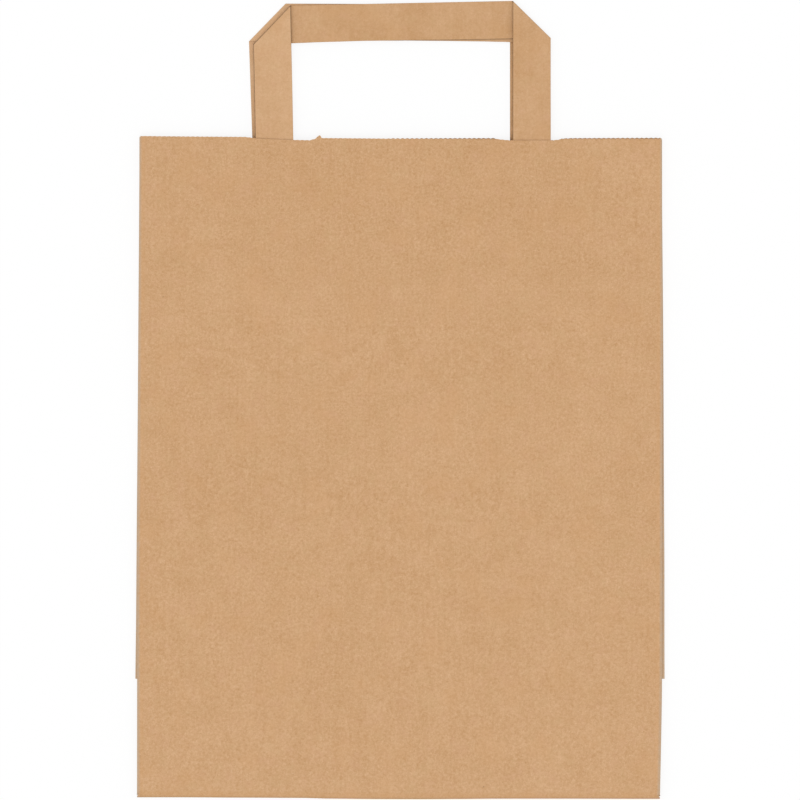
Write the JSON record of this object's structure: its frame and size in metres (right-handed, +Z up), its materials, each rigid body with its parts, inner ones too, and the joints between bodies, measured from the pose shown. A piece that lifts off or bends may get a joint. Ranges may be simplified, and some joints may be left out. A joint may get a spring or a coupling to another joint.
{
  "type": "paper carrier bag",
  "caption": "Plain brown kraft paper carrier bag with side gussets, a block bottom and flat folded strip handles, folded flat and lying on its back.",
  "frame": {"origin": "centre of the flat bag's footprint, handles included, on the surface that it lies on", "axes": "+Y from the bottom fold to the handles, +X across the bag, +Z up through the plain front panel"},
  "size_m": [0.2226, 0.3354, 0.0036],
  "materials": {
    "kraft_paper": "matt machine-finished brown kraft",
    "kraft_strip": "matt brown kraft, folded strip"
  },
  "bodies": {
    "root": {"bag_body": "kraft_paper", "front_handle": "kraft_strip", "rear_handle": "kraft_strip", "front_handle_patch": "kraft_paper", "rear_handle_patch": "kraft_paper"}
  },
  "joints": []
}
